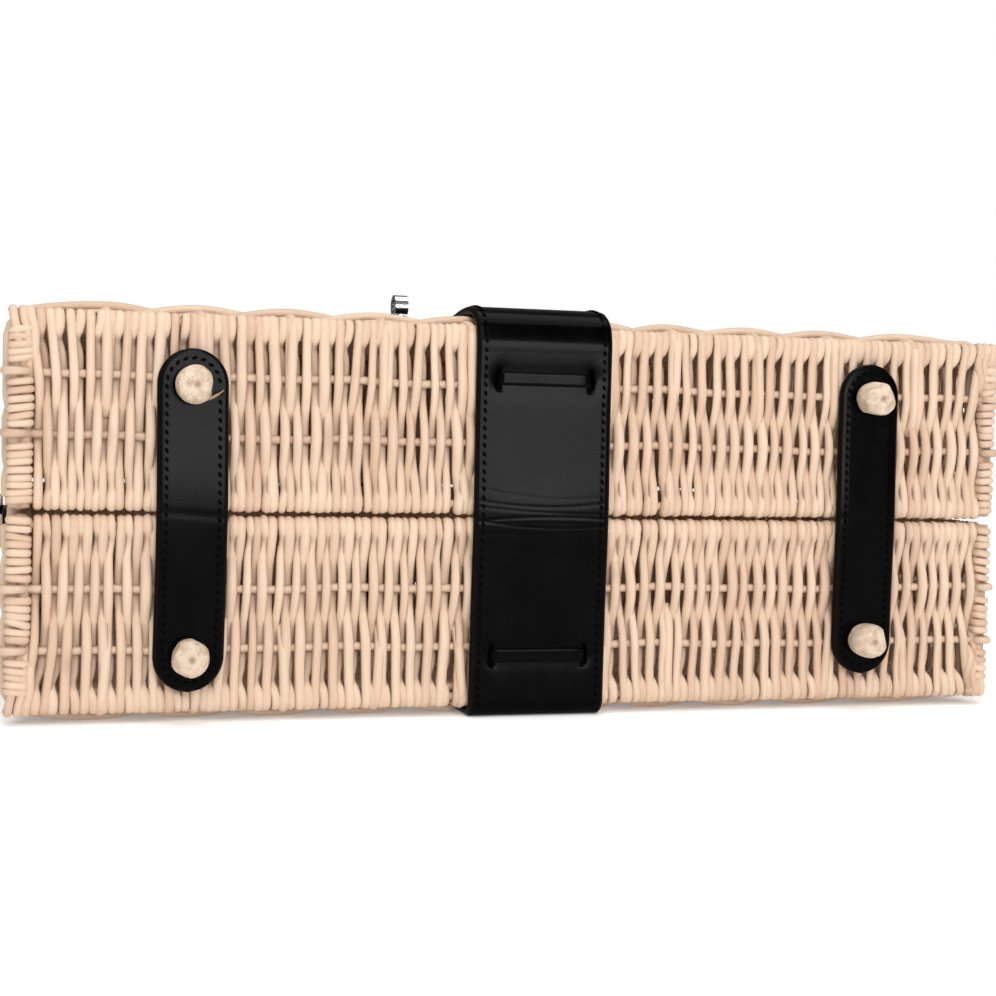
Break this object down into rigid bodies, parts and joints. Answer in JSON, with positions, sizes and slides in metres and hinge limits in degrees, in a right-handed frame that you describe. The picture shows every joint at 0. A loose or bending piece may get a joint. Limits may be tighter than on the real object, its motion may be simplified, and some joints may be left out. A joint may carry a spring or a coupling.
{
  "type": "basket box bag",
  "caption": "Split woven willow box bag lying on its back, with leather strap hinges on pegs, a wide leather band, closing flap, turn lock and top handle.",
  "frame": {"origin": "centre of the back face, on the surface the bag lies on, halfway up the bag", "axes": "+X along the length, +Y from the base to the top handle, +Z from the back to the front with the lock"},
  "size_m": [0.3526, 0.3203, 0.1518],
  "materials": {
    "willow": "peeled willow, satin",
    "leather": "smooth black bridle leather, semi-matt",
    "peg_wood": "whittled pale willow, matt",
    "metal": "polished"
  },
  "bodies": {
    "back_half": {"back_basket": "willow", "hinge_strap_left": "leather", "hinge_strap_right": "leather", "base_peg_back_left": "peg_wood", "base_peg_back_right": "peg_wood", "centre_band": "leather", "band_tab_back": "leather", "flap_peg_left": "peg_wood", "flap_peg_right": "peg_wood", "handle": "leather", "handle_peg_left": "peg_wood", "handle_peg_right": "peg_wood", "side_chape_left": "leather", "side_chape_right": "leather", "side_peg_left": "peg_wood", "side_peg_right": "peg_wood"},
    "lid": {"front_basket": "willow", "base_peg_front_left": "peg_wood", "base_peg_front_right": "peg_wood", "band_tab_front": "leather", "lock_plate": "metal", "lock_backplate": "metal", "lock_rivets": "metal", "lock_post": "metal"},
    "flap": {"closing_flap": "leather"},
    "knob": {"lock_knob": "metal"},
    "ring_left": {"side_ring_left": "metal"},
    "ring_right": {"side_ring_right": "metal"}
  },
  "joints": [
    {"name": "lid_hinge", "type": "hinge", "parent": "back_half", "child": "lid", "pos_m": [0, -0.1266, 0.0675], "axis": [1, 0, 0], "range_deg": [0, 130], "deforming": ["hinge_strap_left", "hinge_strap_right", "centre_band"]},
    {"name": "flap_fold", "type": "hinge", "parent": "back_half", "child": "flap", "pos_m": [0, 0.1296, 0.034], "axis": [-1, 0, 0], "range_deg": [0, 72], "deforming": ["closing_flap"]},
    {"name": "lock_turn", "type": "hinge", "parent": "lid", "child": "knob", "pos_m": [0, 0.072, 0.142], "axis": [0, 0, 1], "range_deg": [0, 90]},
    {"name": "ring_left_swing", "type": "hinge", "parent": "back_half", "child": "ring_left", "pos_m": [-0.16564, 0.09617, 0.0508], "axis": [0, 0, 1], "range_deg": [-8, 150]},
    {"name": "ring_right_swing", "type": "hinge", "parent": "back_half", "child": "ring_right", "pos_m": [0.16564, 0.09617, 0.0508], "axis": [0, 0, -1], "range_deg": [-8, 150]}
  ],
  "couplings": [
    {"joint": "flap_fold", "follows": "lid_hinge", "ratio": 0.55}
  ]
}
